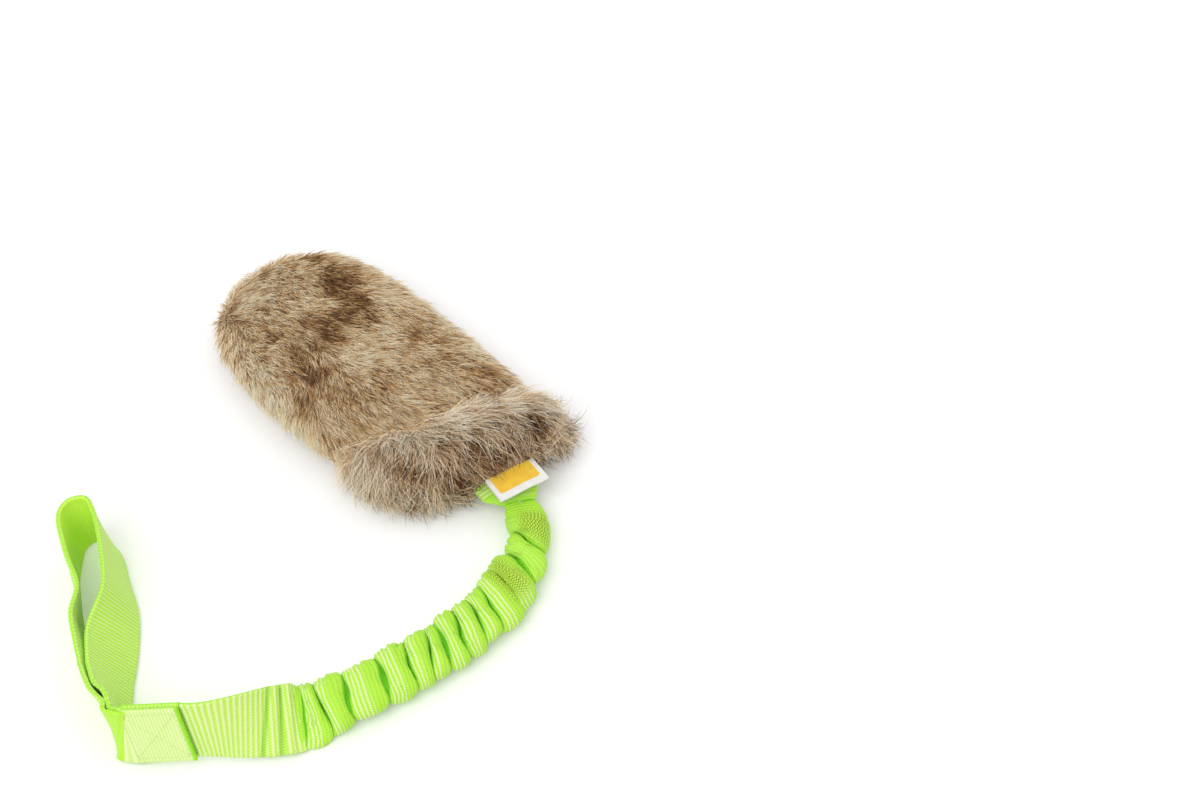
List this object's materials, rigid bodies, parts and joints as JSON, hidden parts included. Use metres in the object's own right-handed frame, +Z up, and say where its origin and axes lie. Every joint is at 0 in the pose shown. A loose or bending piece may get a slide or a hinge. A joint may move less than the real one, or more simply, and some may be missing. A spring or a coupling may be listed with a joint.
{
  "type": "bungee tug toy",
  "caption": "Tug toy: a faux fur pad on a lime webbing strap gathered over elastic, with a webbing hand loop closed by a box stitch.",
  "frame": {"origin": "middle of the flat patch that the pad rests on", "axes": "+Z up from the ground; +Y along the pad, from its mouth to its far end; the strap leaves towards -Y"},
  "size_m": [0.2991, 0.2928, 0.0413],
  "materials": {
    "fur": "long pile faux fur",
    "wadding": "loose fibre",
    "webbing": "ribbed weave",
    "elastic": "woven elastic",
    "lime_thread": "twisted thread",
    "brown_thread": "twisted thread",
    "label": "woven satin"
  },
  "bodies": {
    "root": {"fur_top_panel": "fur", "fur_bottom_panel": "fur", "wadding": "wadding", "side_seam_thread": "brown_thread", "closing_stitch_needle_thread": "brown_thread", "closing_stitch_bobbin_thread": "brown_thread", "strap_anchor": "webbing"},
    "label": {"label": "label"},
    "bungee_near": {"sleeve_near": "webbing", "near_tack_needle_thread": "lime_thread", "near_tack_bobbin_thread": "lime_thread", "elastic_near": "elastic"},
    "bungee_mid": {"sleeve_mid": "webbing", "elastic_mid": "elastic"},
    "bungee_far": {"sleeve_far": "webbing", "elastic_far": "elastic", "far_tack_needle_thread": "lime_thread", "far_tack_bobbin_thread": "lime_thread"},
    "handle": {"flat_strap": "webbing", "handle_webbing": "webbing", "box_stitch_needle_thread": "lime_thread", "box_stitch_bobbin_thread": "lime_thread"}
  },
  "joints": [
    {"name": "label_flip", "type": "hinge", "parent": "root", "child": "label", "pos_m": [0.01328, -0.11015, 0.0181], "axis": [-0.984, 0.178, 0], "range_deg": [0, 75]},
    {"name": "mouth_swing", "type": "hinge", "parent": "root", "child": "bungee_near", "pos_m": [0.00958, -0.11348, 0.0118], "axis": [0, 0, 1], "range_deg": [-10, 45], "deforming": ["sleeve_near", "elastic_near"]},
    {"name": "bungee_bend", "type": "hinge", "parent": "bungee_near", "child": "bungee_mid", "pos_m": [-0.028, -0.16108, 0.0085], "axis": [0, 0, 1], "range_deg": [-10, 50], "deforming": ["sleeve_near", "sleeve_mid", "elastic_near", "elastic_mid"]},
    {"name": "bungee_stretch", "type": "slide", "parent": "bungee_mid", "child": "bungee_far", "axis": [-0.9994, -0.035, 0], "range_m": [0, 0.08], "stiffness_N_per_m": 60, "deforming": ["sleeve_mid", "sleeve_far", "elastic_mid", "elastic_far"]},
    {"name": "handle_swing", "type": "hinge", "parent": "bungee_far", "child": "handle", "pos_m": [-0.18876, -0.14375, 0.02013], "axis": [0, 0, 1], "range_deg": [-20, 60], "deforming": ["flat_strap", "sleeve_far"]}
  ]
}
